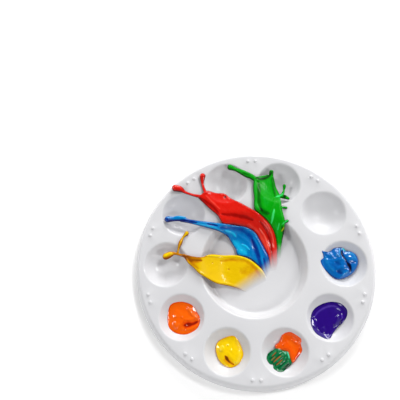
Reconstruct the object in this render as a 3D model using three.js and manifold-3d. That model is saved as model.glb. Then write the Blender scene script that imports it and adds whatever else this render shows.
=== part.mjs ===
// A round plastic mixing palette, lying flat, with ten small paint wells round one wide
// mixing well. Dabs of thick paint sit in five of the small wells, and four poured ribbons
// of paint start on the mixing well's floor, climb its wall and run out across the deck.
//
// Millimetres, +Z up. The origin is the centre of the face that the palette rests on.

import * as THREE from 'three';
import { mergeVertices } from 'three/addons/utils/BufferGeometryUtils.js';
import Module from 'manifold-3d';

// ---------------------------------------------------------------- driving dimensions

const trayRadius = 85;             // to the foot of the skirt
const deckHeight = 9.4;            // top of the deck above the resting face
const wallThickness = 1.2;

const wellCount = 10;
const wellCircleRadius = 62.5;     // where the small wells' centres lie
const wellRimRadius = 16.8;        // where a well's lip meets the deck
const lipRadius = 2;               // rounding of every well's lip
const footPadRadius = 5.5;         // flat pad under each small well

const mixingFloorRadius = 31.8;    // flat part of the mixing well's floor
const mixingFloorThickness = 1.6;
const mixingCornerRadius = 3;
const mixingWallDraft = THREE.MathUtils.degToRad(26);

const shoulderRadius = 2.6;        // rounding of the deck's outer edge
const skirtDraft = THREE.MathUtils.degToRad(25);
const skirtFoot = 3.5;             // the skirt ends this far above the resting face

const nubCircleRadius = 77.5;
const nubSpacing = 5.6;
const nubRadius = 1.2;
const nubHeight = 0.8;

const paintGap = 0.5;              // paint to plastic, and half of it again between paints
const sagShare = 0.3;              // how far a ribbon sags into a small well it crosses
const rampStart = 23;              // a ribbon leaves the mixing well's floor here
const rampEnd = 36;                // and reaches the deck here

const traySegments = 56;           // facets round the tray
const wellSegments = 16;           // and round each small well

// --------------------------------------------------------------------- worked out

const wellDepth = deckHeight - wallThickness;
const wellLipSlope = 2 * Math.atan(wellDepth / wellRimRadius);
const wellSphereRadius = wellRimRadius / Math.sin(wellLipSlope) - lipRadius;
const lipStartRadius = wellSphereRadius * Math.sin(wellLipSlope);

const mixingCornerHeight = mixingFloorThickness + mixingCornerRadius;
const wallStart = new THREE.Vector2(
  mixingFloorRadius + mixingCornerRadius * Math.cos(mixingWallDraft),
  mixingCornerHeight - mixingCornerRadius * Math.sin(mixingWallDraft),
);
const lipCentreHeight = deckHeight - lipRadius;
const wallEndHeight = lipCentreHeight + lipRadius * Math.sin(mixingWallDraft);
const wallEndRadius = wallStart.x + (wallEndHeight - wallStart.y) * Math.tan(mixingWallDraft);
const mixingRimRadius = wallEndRadius + lipRadius * Math.cos(mixingWallDraft);

const shoulderCentreHeight = deckHeight - shoulderRadius;
const shoulderEndHeight = shoulderCentreHeight + shoulderRadius * Math.sin(skirtDraft);
const skirtRun = (shoulderEndHeight - skirtFoot) * Math.tan(skirtDraft);
const deckRadius = trayRadius - skirtRun - shoulderRadius * Math.cos(skirtDraft);

// ------------------------------------------------------------------------ helpers

const { degToRad, smoothstep } = THREE.MathUtils;

const wasm = await Module();
wasm.setup();

function solidOf(geometry) {
  const bare = geometry.clone();
  bare.deleteAttribute('normal');
  bare.deleteAttribute('uv');
  const merged = mergeVertices(bare, 1e-4);
  return new wasm.Manifold(new wasm.Mesh({
    numProp: 3,
    vertProperties: new Float32Array(merged.attributes.position.array),
    triVerts: new Uint32Array(merged.index.array),
  }));
}

function geometryOf(solid) {
  const mesh = solid.getMesh();
  const geometry = new THREE.BufferGeometry();
  geometry.setAttribute('position', new THREE.BufferAttribute(mesh.vertProperties, 3));
  geometry.setIndex(new THREE.BufferAttribute(mesh.triVerts, 1));
  geometry.computeVertexNormals();
  return geometry;
}

function moveVertices(geometry, place) {
  const position = geometry.attributes.position;
  const point = new THREE.Vector3();
  for (let i = 0; i < position.count; i += 1) {
    point.fromBufferAttribute(position, i);
    place(point);
    position.setXYZ(i, point.x, point.y, point.z);
  }
  return geometry;
}

// Points on an arc, from one angle to another in degrees.
function arc(centreX, centreY, radius, fromAngle, toAngle, steps) {
  const points = [];
  for (let i = 0; i <= steps; i += 1) {
    const angle = degToRad(fromAngle + (toAngle - fromAngle) * (i / steps));
    points.push(new THREE.Vector2(
      centreX + radius * Math.cos(angle),
      centreY + radius * Math.sin(angle),
    ));
  }
  return points;
}

// A profile of (radius, height) points turned about the vertical axis.
function turned(profile, segments) {
  return new THREE.LatheGeometry(profile, segments).rotateX(Math.PI / 2);
}

function wellCentre(index) {
  const angle = index * 2 * Math.PI / wellCount;
  return new THREE.Vector2(
    wellCircleRadius * Math.cos(angle),
    wellCircleRadius * Math.sin(angle),
  );
}

// ----------------------------------------------------- height of the tray's top face

// Inside a small well, at a distance from its centre.
function wellHeight(distance) {
  if (distance >= wellRimRadius) {
    return deckHeight;
  }
  if (distance > lipStartRadius) {
    const inward = wellRimRadius - distance;
    return lipCentreHeight + Math.sqrt(lipRadius ** 2 - inward ** 2);
  }
  return wallThickness + wellSphereRadius - Math.sqrt(wellSphereRadius ** 2 - distance ** 2);
}

// The face that ribbons lie on: up a ramp out of the mixing well, sagging part of the way
// into each small well, and down over the deck's rounded shoulder.
function ribbonBed(x, y) {
  const fromAxis = Math.hypot(x, y);
  let height = mixingFloorThickness;
  height += (deckHeight - mixingFloorThickness) * smoothstep(fromAxis, rampStart, rampEnd);
  for (let i = 0; i < wellCount; i += 1) {
    const centre = wellCentre(i);
    const drop = deckHeight - wellHeight(Math.hypot(x - centre.x, y - centre.y));
    height -= sagShare * drop;
  }
  const past = THREE.MathUtils.clamp(fromAxis - deckRadius, 0, shoulderRadius);
  height -= shoulderRadius - Math.sqrt(shoulderRadius ** 2 - past ** 2);
  return height + paintGap;
}

// ---------------------------------------------------------------------- the tray

function trayShell() {
  const draftAngle = THREE.MathUtils.radToDeg(mixingWallDraft);
  const skirtAngle = THREE.MathUtils.radToDeg(skirtDraft);
  const insideOfSkirt = wallThickness / Math.cos(skirtDraft);
  const profile = [
    new THREE.Vector2(0, 0),
    ...arc(mixingFloorRadius, mixingCornerHeight, mixingCornerHeight, -90, -draftAngle, 3),
    ...arc(mixingRimRadius, lipCentreHeight, lipRadius - wallThickness, 180 - draftAngle, 90, 2),
    ...arc(deckRadius, shoulderCentreHeight, shoulderRadius - wallThickness, 90, skirtAngle, 2),
    new THREE.Vector2(trayRadius - insideOfSkirt, skirtFoot),
    new THREE.Vector2(trayRadius, skirtFoot),
    ...arc(deckRadius, shoulderCentreHeight, shoulderRadius, skirtAngle, 90, 3),
    ...arc(mixingRimRadius, lipCentreHeight, lipRadius, 90, 180 - draftAngle, 2),
    ...arc(mixingFloorRadius, mixingCornerHeight, mixingCornerRadius, -draftAngle, -90, 3),
    new THREE.Vector2(0, mixingFloorThickness),
  ];
  return solidOf(turned(profile, traySegments));
}

// The outside of a small well below the deck, standing on its flat pad.
function wellCup() {
  const outerRadius = wellSphereRadius + wallThickness;
  const slope = THREE.MathUtils.radToDeg(wellLipSlope);
  const padAngle = THREE.MathUtils.radToDeg(Math.asin(footPadRadius / outerRadius));
  const profile = [
    new THREE.Vector2(0, 0),
    new THREE.Vector2(footPadRadius, 0),
    ...arc(0, outerRadius, outerRadius, padAngle - 90, slope - 90, 2),
    new THREE.Vector2(wellRimRadius, deckHeight - wallThickness / 2),
    new THREE.Vector2(0, deckHeight - wallThickness / 2),
  ];
  return turned(profile, wellSegments);
}

// The hollow of a small well, with its rounded lip, carried a little above the deck.
function wellHollow() {
  const slope = THREE.MathUtils.radToDeg(wellLipSlope);
  const sphereCentre = wallThickness + wellSphereRadius;
  const profile = [
    ...arc(0, sphereCentre, wellSphereRadius, -90, slope - 90, 4),
    ...arc(wellRimRadius, lipCentreHeight, lipRadius, 90 + slope, 90, 2).slice(1),
    new THREE.Vector2(wellRimRadius, deckHeight + wallThickness),
    new THREE.Vector2(0, deckHeight + wallThickness),
  ];
  return turned(profile, wellSegments);
}

// A pair of low stacking nubs stands near the deck's edge between each two small wells.
function nubCentres() {
  const centres = [];
  const halfAngle = nubSpacing / 2 / nubCircleRadius;
  for (let i = 0; i < wellCount; i += 1) {
    const middle = (i + 0.5) * 2 * Math.PI / wellCount;
    for (const angle of [middle - halfAngle, middle + halfAngle]) {
      centres.push(new THREE.Vector2(
        nubCircleRadius * Math.cos(angle),
        nubCircleRadius * Math.sin(angle),
      ));
    }
  }
  return centres;
}

function paletteTray() {
  let tray = trayShell();
  for (let i = 0; i < wellCount; i += 1) {
    const centre = wellCentre(i);
    tray = tray.add(solidOf(wellCup().translate(centre.x, centre.y, 0)));
  }
  for (let i = 0; i < wellCount; i += 1) {
    const centre = wellCentre(i);
    tray = tray.subtract(solidOf(wellHollow().translate(centre.x, centre.y, 0)));
  }
  for (const centre of nubCentres()) {
    const nub = new THREE.SphereGeometry(nubRadius, 6, 4).rotateX(Math.PI / 2);
    nub.scale(1, 1, nubHeight / nubRadius).translate(centre.x, centre.y, deckHeight);
    tray = tray.add(solidOf(nub));
  }
  return geometryOf(tray);
}

// ---------------------------------------------------------------------- paint dabs

// A dab fills an outline inside a small well: flat rounded top, underside on the bowl.
// The outline is a list of [x, y] points round the dab, measured from the well's centre.
function dab(wellIndex, outline, topHeight) {
  const well = wellCentre(wellIndex);
  const edge = new THREE.CatmullRomCurve3(outline.map(([x, y]) => new THREE.Vector3(x, y, 0)), true);
  const middle = new THREE.Vector3();
  for (const [x, y] of outline) {
    middle.add(new THREE.Vector3(x / outline.length, y / outline.length, 0));
  }
  const ball = new THREE.SphereGeometry(1, 20, 10).rotateX(Math.PI / 2);
  moveVertices(ball, (point) => {
    const share = Math.min(Math.hypot(point.x, point.y), 1);
    const turn = (Math.atan2(point.y, point.x) / (2 * Math.PI) + 1) % 1;
    const spread = 1 - (1 - share) ** 1.5;
    const rim = edge.getPoint(turn).sub(middle).multiplyScalar(spread).add(middle);
    const bed = wellHeight(Math.hypot(rim.x, rim.y) + paintGap) + paintGap;
    const upper = Math.max(point.z, 0) ** 0.6;
    const top = Math.max(topHeight, bed + 0.6);
    point.set(well.x + rim.x, well.y + rim.y, THREE.MathUtils.lerp(bed, top, upper));
  });
  return geometryOf(solidOf(ball));
}

// ------------------------------------------------------------------- paint ribbons

// A ribbon's body lies between its left and right edges, each a list of [x, y] points from
// the floor of the mixing well outwards. It starts as a thin film and ends at full thickness.
function ribbonBody(leftEdge, rightEdge, thickness) {
  const flat = ([x, y]) => new THREE.Vector3(x, y, 0);
  const left = new THREE.CatmullRomCurve3(leftEdge.map(flat));
  const right = new THREE.CatmullRomCurve3(rightEdge.map(flat));
  const slab = new THREE.BoxGeometry(1, 1, 1, 2 * (leftEdge.length - 1), 5, 1);
  moveVertices(slab, (point) => {
    const along = point.x + 0.5;
    const across = point.y + 0.5;
    const spot = right.getPoint(along).lerp(left.getPoint(along), across);
    const crown = 0.4 + 0.6 * Math.sqrt(Math.sin(Math.PI * THREE.MathUtils.clamp(across, 0, 1)));
    const film = 0.25 + 0.75 * smoothstep(along, 0, 0.3);
    const lift = (point.z + 0.5) * thickness * crown * film;
    point.set(spot.x, spot.y, ribbonBed(spot.x, spot.y) + lift);
  });
  return solidOf(slab);
}

// A round arm of paint along [x, y] points, with a drop at its end. It lies on the bed.
function tendril(points, armRadius, dropRadius) {
  const centreline = new THREE.CatmullRomCurve3(points.map(
    ([x, y]) => new THREE.Vector3(x, y, ribbonBed(x, y) + armRadius),
  ));
  const section = new THREE.Shape().absarc(0, 0, armRadius, 0, 2 * Math.PI);
  const arm = new THREE.ExtrudeGeometry(section, {
    steps: 2 * points.length,
    curveSegments: 4,
    extrudePath: centreline,
  });
  const [endX, endY] = points[points.length - 1];
  const drop = new THREE.SphereGeometry(dropRadius, 8, 6);
  drop.translate(endX, endY, ribbonBed(endX, endY) + dropRadius);
  return solidOf(arm).add(solidOf(drop));
}

function ribbon({ leftEdge, rightEdge, thickness, tendrils }) {
  let body = ribbonBody(leftEdge, rightEdge, thickness);
  for (const { points, armRadius, dropRadius } of tendrils) {
    body = body.add(tendril(points, armRadius, dropRadius));
  }
  return geometryOf(body);
}

const yellowRibbon = {
  thickness: 3,
  leftEdge: [
    [-5.5, -19], [-11.5, -16.5], [-19, -14.5], [-26, -13.5], [-32.5, -10.5],
    [-38.5, -7], [-42.5, -3], [-46.5, 0.5], [-49.5, 4.5], [-51.5, 6],
  ],
  rightEdge: [
    [9.5, -10.5], [7, -4.5], [2.5, 0.5], [-4, 5], [-12, 7.5],
    [-21, 7.5], [-30, 7.5], [-36.5, 5], [-43.5, 5.5], [-50.5, 7.5],
  ],
  tendrils: [
    { points: [[-48.5, 5.5], [-52.5, 7], [-56.5, 7.5], [-61.5, 6.5]], armRadius: 0.8, dropRadius: 2.3 },
    { points: [[-54.5, 7.5], [-53.5, 11.5], [-52, 16.5], [-48, 22.5]], armRadius: 0.8, dropRadius: 1.5 },
  ],
};

const blueRibbon = {
  thickness: 3,
  leftEdge: [
    [9.5, -7.5], [7.5, -3.5], [3.5, 1.5], [-3, 6.5], [-11, 8.5], [-13, 12],
    [-16.5, 17.5], [-19, 21], [-24, 23.5], [-34.5, 26.5], [-45.5, 30], [-53, 31.5],
  ],
  rightEdge: [
    [12, -4], [11.5, 2], [10.5, 7.5], [8, 13], [5, 19], [1.5, 24],
    [-4.5, 27.5], [-12.5, 28.5], [-22.5, 29.5], [-34.5, 31], [-46.5, 33.5], [-52.5, 36],
  ],
  tendrils: [
    { points: [[-50.5, 33.5], [-56.5, 34], [-62, 33]], armRadius: 1.5, dropRadius: 2.5 },
  ],
};

const redRibbon = {
  thickness: 3.2,
  leftEdge: [
    [12.5, -4], [12.5, 2], [11, 8], [8.5, 13.5], [5.5, 19.5], [2, 25],
    [-4, 28], [-12.5, 29.5], [-21.5, 30], [-25.5, 35], [-31.5, 40.5], [-36, 45], [-40, 49],
  ],
  rightEdge: [
    [16.5, -3.5], [17, 5], [17, 15], [15.5, 22.5], [12.5, 28.5], [7.5, 34],
    [1.5, 38.5], [-7.5, 44], [-15.5, 48.5], [-20.5, 52.5], [-26.5, 53], [-32.5, 54.5], [-36, 52.5],
  ],
  tendrils: [
    { points: [[-36, 49.5], [-44, 51.5], [-50.5, 53.5], [-56.5, 56]], armRadius: 1, dropRadius: 2.4 },
    { points: [[-34, 51.5], [-36, 57.5], [-37, 61.5], [-36.5, 65.5]], armRadius: 1.1, dropRadius: 2.1 },
  ],
};

const greenRibbon = {
  thickness: 3,
  leftEdge: [
    [17.5, 5], [17.5, 13.5], [16.5, 21.5], [14, 27.5], [10, 33],
    [4.5, 37.5], [1, 41], [1, 48.5], [0.5, 55.5], [1.5, 61], [2, 63.5],
  ],
  rightEdge: [
    [20, 5], [20, 13], [21.5, 20.5], [22.5, 26.5], [22.5, 32.5],
    [21, 39.5], [20.5, 46], [19.5, 52], [17.5, 57], [16.5, 62.5], [16, 66.5],
  ],
  tendrils: [
    { points: [[3.5, 61], [-2.5, 65], [-7.5, 67.5], [-11, 70.5], [-16, 72.5]], armRadius: 1.2, dropRadius: 2 },
    { points: [[14, 63], [14, 66], [14.5, 68]], armRadius: 1.4, dropRadius: 1.6 },
    { points: [[18, 50.5], [22.5, 52.5], [23.5, 55], [24, 58]], armRadius: 0.8, dropRadius: 1.3 },
    { points: [[18, 49.5], [23, 49], [26, 47.5]], armRadius: 0.8, dropRadius: 0.9 },
    { points: [[19, 41], [21.5, 41], [24, 40.5]], armRadius: 0.7, dropRadius: 0.9 },
    { points: [[20, 27.5], [22.5, 29.5], [24.5, 30.5]], armRadius: 0.8, dropRadius: 1.1 },
  ],
};

// ----------------------------------------------------------------------- assembly

const group = new THREE.Group();

function addPiece(name, geometry, colour, roughness) {
  const material = new THREE.MeshStandardMaterial({ color: colour, roughness, metalness: 0 });
  const piece = new THREE.Mesh(geometry, material);
  piece.name = name;
  group.add(piece);
}

const plasticRoughness = 0.35;
const paintRoughness = 0.25;

addPiece('palette_tray', paletteTray(), 0xe6e6e8, plasticRoughness);

// Outlines of the dabs, in millimetres from the centre of the well each one lies in.
const dabs = [
  {
    name: 'blue_dab', well: 0, colour: 0x0a6bd0, topHeight: 8,
    outline: [[11, 2], [4.5, 9], [-2.5, 11.5], [-9.5, 8], [-14, 7.5], [-14.5, 1],
      [-11.5, -5.5], [-5.5, -9.5], [2.5, -8.5], [8, -4.5]],
  },
  {
    name: 'purple_dab', well: 9, colour: 0x2b0d86, topHeight: 5.6,
    outline: [[12, 2.5], [8.5, 8.5], [2, 11], [-5.5, 8], [-11.5, 2.5], [-12, -4.5],
      [-8, -11], [-2, -13.5], [2, -9.5], [7, -5]],
  },
  {
    name: 'orange_stroke', well: 8, colour: 0xfa5a05, topHeight: 5.6,
    outline: [[11.5, 1.5], [11, 8], [4.5, 12.5], [-0.5, 10.5], [-3.5, 6], [-6, 4],
      [-0.5, 2.5], [4, -0.5], [5.5, -5.5], [9, -2.5]],
  },
  {
    name: 'green_dab', well: 8, colour: 0x006e37, topHeight: 5.6,
    outline: [[4.5, -4.5], [2.5, 0], [-2.5, 2.5], [-7.5, 1], [-11.5, -2.5], [-11, -6],
      [-8, -9.5], [-3.5, -12], [1, -9.5], [4, -7]],
  },
  {
    name: 'yellow_dab', well: 7, colour: 0xfad805, topHeight: 5.6,
    outline: [[10.5, -1], [8, 7], [3.5, 10], [-2.5, 9.5], [-7, 5], [-8, -1.5],
      [-5, -7.5], [2, -10], [7.5, -7.5]],
  },
  {
    name: 'orange_dab', well: 6, colour: 0xfa5f00, topHeight: 5.8,
    outline: [[12.5, -1], [10, 5.5], [5, 9.5], [-0.5, 11], [-7.5, 9.5], [-10.5, 2.5],
      [-10, -5], [-5, -10], [2, -11], [9, -7]],
  },
];
for (const { name, well, outline, topHeight, colour } of dabs) {
  addPiece(name, dab(well, outline, topHeight), colour, paintRoughness);
}

addPiece('yellow_ribbon', ribbon(yellowRibbon), 0xe8cc00, paintRoughness);
addPiece('blue_ribbon', ribbon(blueRibbon), 0x0067b8, paintRoughness);
addPiece('red_ribbon', ribbon(redRibbon), 0xd81e14, paintRoughness);
addPiece('green_ribbon', ribbon(greenRibbon), 0x00a00f, paintRoughness);

export default group;
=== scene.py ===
"""A round white mixing palette with wet paint: fine surfaces and materials round the CAD frame.

Everything is worked out in millimetres and made in metres, in the frame's own axes. The tray
is a skin of turned rings joined by flat deck. Each paint is a closed body whose relief and
colour follow a short list of strokes: folds, rolled edges, pits and streaks. Its colour carries
painted shade in folds, pits and down-turned edges, and painted highlights on ridges.
"""

import math

import bmesh
import bpy
import numpy as np
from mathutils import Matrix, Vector
from mathutils.geometry import delaunay_2d_cdt
from mathutils.kdtree import KDTree


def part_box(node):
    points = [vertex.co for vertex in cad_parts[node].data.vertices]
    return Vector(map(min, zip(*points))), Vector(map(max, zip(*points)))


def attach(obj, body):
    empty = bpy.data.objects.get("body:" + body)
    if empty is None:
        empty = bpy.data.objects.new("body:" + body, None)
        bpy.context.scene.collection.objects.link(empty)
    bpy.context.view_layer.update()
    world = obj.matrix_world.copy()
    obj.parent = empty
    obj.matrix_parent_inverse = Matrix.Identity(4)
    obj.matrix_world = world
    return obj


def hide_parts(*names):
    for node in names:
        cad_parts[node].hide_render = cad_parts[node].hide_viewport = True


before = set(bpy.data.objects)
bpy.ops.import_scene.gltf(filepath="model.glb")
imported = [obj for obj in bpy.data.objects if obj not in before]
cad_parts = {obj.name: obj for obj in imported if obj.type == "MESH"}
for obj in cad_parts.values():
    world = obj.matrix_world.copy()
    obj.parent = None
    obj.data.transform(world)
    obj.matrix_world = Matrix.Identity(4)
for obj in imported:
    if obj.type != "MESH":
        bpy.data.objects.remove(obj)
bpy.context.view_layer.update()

MM = 0.001

# ------------------------------------------------------------------ dimensions, in mm

TRAY_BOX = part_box("palette_tray")
TRAY_RADIUS = TRAY_BOX[1].x / MM
NUB_HEIGHT = 0.8
DECK = TRAY_BOX[1].z / MM - NUB_HEIGHT  # height of the deck's top face
WALL = 1.2

WELLS = 10
WELL_CIRCLE = 62.5
WELL_RIM = 16.8  # where a well's lip meets the deck
LIP = 2.0  # rounding of every lip
FOOT_PAD = 5.5
PAD_EDGE = 0.2  # width of the softened edge round a well's pad

FLOOR_RADIUS = 31.8  # flat part of the mixing well's floor
FLOOR = 1.6  # its height
CORNER = 3.0
WALL_DRAFT = math.radians(26)

SHOULDER = 2.6
SKIRT_DRAFT = math.radians(25)
SKIRT_FOOT = 3.5
FOOT_ROUND = 0.4

NUB_CIRCLE = 77.5
NUB_SPACING = 5.6
NUB_RADIUS = 1.2
NUB_FLARE = 0.25  # a nub's foot spreads this far
NUB_RISE = 0.08  # over this height

SAG_SHARE = 0.3  # how far a ribbon sags into a well it crosses
RAMP_START = 20.0  # a ribbon leaves the mixing floor here
RAMP_END = 39.5  # and reaches the deck here
SINK = 0.15  # wet paint lies this far into its bed's surface

WELL_SLOPE = 2 * math.atan((DECK - WALL) / WELL_RIM)
WELL_BALL = WELL_RIM / math.sin(WELL_SLOPE) - LIP
LIP_START = WELL_BALL * math.sin(WELL_SLOPE)
LIP_CENTRE = DECK - LIP
WALL_FOOT = FLOOR_RADIUS + CORNER * math.cos(WALL_DRAFT)
WALL_FOOT_HEIGHT = FLOOR + CORNER * (1 - math.sin(WALL_DRAFT))
WALL_HEAD_HEIGHT = LIP_CENTRE + LIP * math.sin(WALL_DRAFT)
WALL_RUN = (WALL_HEAD_HEIGHT - WALL_FOOT_HEIGHT) * math.tan(WALL_DRAFT)
MIXING_RIM = WALL_FOOT + WALL_RUN + LIP * math.cos(WALL_DRAFT)
SHOULDER_CENTRE = DECK - SHOULDER
SHOULDER_END = SHOULDER_CENTRE + SHOULDER * math.sin(SKIRT_DRAFT)
SKIRT_RUN = (SHOULDER_END - SKIRT_FOOT) * math.tan(SKIRT_DRAFT)
DECK_RADIUS = TRAY_RADIUS - SKIRT_RUN - SHOULDER * math.cos(SKIRT_DRAFT)


def well_centre(index):
    angle = index * 2 * math.pi / WELLS
    return np.array([WELL_CIRCLE * math.cos(angle), WELL_CIRCLE * math.sin(angle)])


def smooth_step(value, low, high):
    share = np.clip((value - low) / (high - low), 0, 1)
    return share * share * (3 - 2 * share)


def well_height(distance):
    """Height of a small well's inside, at a distance from its centre."""
    inner = np.minimum(distance, LIP_START)
    bowl = WALL + WELL_BALL - np.sqrt(WELL_BALL**2 - inner**2)
    inward = np.clip(WELL_RIM - distance, 0, LIP)
    lip = LIP_CENTRE + np.sqrt(LIP**2 - inward**2)
    return np.where(distance < LIP_START, bowl, lip)


def ribbon_bed(x, y):
    """Height that ribbons of paint lie at: floor, ramp, deck, and partly sunk into wells."""
    from_axis = np.hypot(x, y)
    height = FLOOR + (DECK - FLOOR) * smooth_step(from_axis, RAMP_START, RAMP_END)
    for index in range(WELLS):
        centre = well_centre(index)
        height = height - SAG_SHARE * (DECK - well_height(np.hypot(x - centre[0], y - centre[1])))
    past = np.clip(from_axis - DECK_RADIUS, 0, SHOULDER)
    height = height - (SHOULDER - np.sqrt(SHOULDER**2 - past**2))
    return height - SINK


# ------------------------------------------------------------------------ mesh helpers


def placed(name, data):
    """A new object in the scene."""
    thing = bpy.data.objects.new(name, data)
    bpy.context.scene.collection.objects.link(thing)
    return thing


def new_piece(name, points, faces, replaced, material):
    """A smooth mesh from points in millimetres, riding on the root body."""
    mesh = bpy.data.meshes.new(name)
    mesh.from_pydata((np.asarray(points, float) * MM).tolist(), [], faces)
    mesh.validate()
    mesh.shade_smooth()
    piece = placed(name, mesh)
    mesh.materials.append(material)
    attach(piece, "root")
    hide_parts(replaced)
    return piece


def point_values(piece, name, values):
    attribute = piece.data.attributes.new(name, "FLOAT", "POINT")
    attribute.data.foreach_set("value", np.asarray(values, np.float32))


def spline(points, count, closed=False):
    """Points evenly shared along a Catmull-Rom curve through the given ones."""
    knots = np.asarray(points, float)
    if closed:
        padded = np.vstack([knots[-1:], knots, knots[:2]])
        spans = len(knots)
    else:
        padded = np.vstack([2 * knots[0] - knots[1], knots, 2 * knots[-1] - knots[-2]])
        spans = len(knots) - 1
    place = np.linspace(0, spans, count, endpoint=not closed)
    start = np.minimum(place.astype(int), spans - 1)
    t = (place - start)[:, None]
    a, b, c, d = (padded[start + step] for step in range(4))
    return 0.5 * (
        2 * b + (c - a) * t + (2 * a - 5 * b + 4 * c - d) * t**2 + (3 * b - a - 3 * c + d) * t**3
    )


class Skin:
    """Points and faces of one closed skin, built up from rings."""

    def __init__(self):
        self.points = []
        self.faces = []

    def ring(self, centre, radius, height, count):
        first = len(self.points)
        for step in range(count):
            angle = 2 * math.pi * step / count
            self.points.append((
                centre[0] + radius * math.cos(angle),
                centre[1] + radius * math.sin(angle),
                height,
            ))
        return list(range(first, first + count))

    def bridge(self, one, other):
        count = len(one)
        for step in range(count):
            after = (step + 1) % count
            self.faces.append((one[step], one[after], other[after], other[step]))

    def cap(self, ring, centre, height):
        tip = len(self.points)
        self.points.append((centre[0], centre[1], height))
        for step in range(len(ring)):
            self.faces.append((ring[step], ring[(step + 1) % len(ring)], tip))

    def turn(self, start, centre, profile):
        """Carries a ring through a profile of (radius, height) steps and returns the last."""
        for radius, height in profile:
            following = self.ring(centre, radius, height, len(start))
            self.bridge(start, following)
            start = following
        return start

    def plate(self, outline, holes):
        """Flat face between an outline ring and the rings of its holes."""
        rings = [outline] + holes
        flat = [Vector(self.points[i][:2]) for ring in rings for i in ring]
        owner = [number for number, ring in enumerate(rings) for _ in ring]
        index = [i for ring in rings for i in ring]
        edges = []
        first = 0
        for ring in rings:
            count = len(ring)
            edges += [(first + step, first + (step + 1) % count) for step in range(count)]
            first += count
        made = delaunay_2d_cdt(flat, edges, [], 0, 1e-7)
        source = [origin[0] for origin in made[3]]
        for face in made[2]:
            corners = [source[i] for i in face]
            owners = {owner[i] for i in corners}
            if len(owners) == 1 and owners != {0}:
                continue
            self.faces.append(tuple(index[i] for i in corners))


def arc(centre_radius, centre_height, radius, start, end, steps):
    """(radius, height) points on an arc, from one angle to another in degrees, both kept."""
    angles = np.radians(np.linspace(start, end, steps + 1))
    return [
        (centre_radius + radius * math.cos(angle), centre_height + radius * math.sin(angle))
        for angle in angles
    ]


# ------------------------------------------------------------------------------- tray

DECK_STEPS = 256
MIXING_STEPS = 192
WELL_STEPS = 96
NUB_STEPS = 16


def well_top(skin, centre):
    """Lip and bowl of a small well; returns the ring where the lip meets the deck."""
    slope = math.degrees(WELL_SLOPE)
    rim = skin.ring(centre, WELL_RIM, DECK, WELL_STEPS)
    profile = arc(WELL_RIM, LIP_CENTRE, LIP, 90, 90 + slope, 7)[1:]
    profile += arc(0, WALL + WELL_BALL, WELL_BALL, slope - 90, -88, 14)[1:]
    skin.cap(skin.turn(rim, centre, profile), centre, WALL)
    return rim


def well_under(skin, centre):
    """Outside of a small well, down to the pad that it stands on."""
    slope = math.degrees(WELL_SLOPE)
    outer = WELL_BALL + WALL
    pad = math.degrees(math.asin(FOOT_PAD / outer))
    rim = skin.ring(centre, WELL_RIM, DECK - WALL, WELL_STEPS)
    profile = arc(WELL_RIM, LIP_CENTRE, LIP - WALL, 90, 90 + slope, 3)[1:]
    profile += arc(0, WALL + WELL_BALL, outer, slope - 90, pad - 90, 8)[1:]
    profile += [(FOOT_PAD - PAD_EDGE, 0.0), (FOOT_PAD / 2, 0.0)]
    skin.cap(skin.turn(rim, centre, profile), centre, 0.0)
    return rim


def mixing_top(skin):
    draft = math.degrees(WALL_DRAFT)
    rim = skin.ring((0, 0), MIXING_RIM, DECK, MIXING_STEPS)
    profile = arc(MIXING_RIM, LIP_CENTRE, LIP, 90, 180 - draft, 7)[1:]
    profile += arc(FLOOR_RADIUS, FLOOR + CORNER, CORNER, -draft, -90, 7)
    profile += [(FLOOR_RADIUS * share, FLOOR) for share in (0.98, 0.8, 0.5, 0.2)]
    skin.cap(skin.turn(rim, (0, 0), profile), (0, 0), FLOOR)
    return rim


def mixing_under(skin):
    draft = math.degrees(WALL_DRAFT)
    corner = CORNER + FLOOR
    rim = skin.ring((0, 0), MIXING_RIM, DECK - WALL, MIXING_STEPS)
    profile = arc(MIXING_RIM, LIP_CENTRE, LIP - WALL, 90, 180 - draft, 3)[1:]
    profile += arc(FLOOR_RADIUS, corner, corner, -draft, -90, 7)
    profile += [(FLOOR_RADIUS * share, 0.0) for share in (0.98, 0.6, 0.2)]
    skin.cap(skin.turn(rim, (0, 0), profile), (0, 0), 0.0)
    return rim


def skirt(skin):
    """The rounded shoulder and skirt, from the deck's edge round to the underside's edge."""
    draft = math.degrees(SKIRT_DRAFT)
    inside = WALL / math.cos(SKIRT_DRAFT)
    step = FOOT_ROUND / 8
    top = skin.ring((0, 0), DECK_RADIUS, DECK, DECK_STEPS)
    outer_foot = TRAY_RADIUS - FOOT_ROUND * math.tan(SKIRT_DRAFT)
    profile = arc(DECK_RADIUS, SHOULDER_CENTRE, SHOULDER, 90, draft, 8)[1:]
    profile += [
        (outer_foot, SKIRT_FOOT + FOOT_ROUND),
        (TRAY_RADIUS - step, SKIRT_FOOT + FOOT_ROUND / 3),
        (TRAY_RADIUS - 3 * step, SKIRT_FOOT),
        (TRAY_RADIUS - inside + 2 * step, SKIRT_FOOT),
        (TRAY_RADIUS - inside - 2 * step, SKIRT_FOOT + FOOT_ROUND / 3),
    ]
    profile += arc(DECK_RADIUS, SHOULDER_CENTRE, SHOULDER - WALL, draft, 90, 6)
    return top, skin.turn(top, (0, 0), profile)


def nub(skin, centre):
    """A small domed stacking nub, with a soft foot; returns its ring on the deck."""
    foot = skin.ring(centre, NUB_RADIUS + NUB_FLARE, DECK, NUB_STEPS)
    profile = [(NUB_RADIUS, DECK + NUB_RISE)]
    profile += [
        (NUB_RADIUS * math.cos(angle), DECK + NUB_RISE + (NUB_HEIGHT - NUB_RISE) * math.sin(angle))
        for angle in np.radians([20, 40, 60, 78])
    ]
    skin.cap(skin.turn(foot, centre, profile), centre, DECK + NUB_HEIGHT)
    return foot


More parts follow.
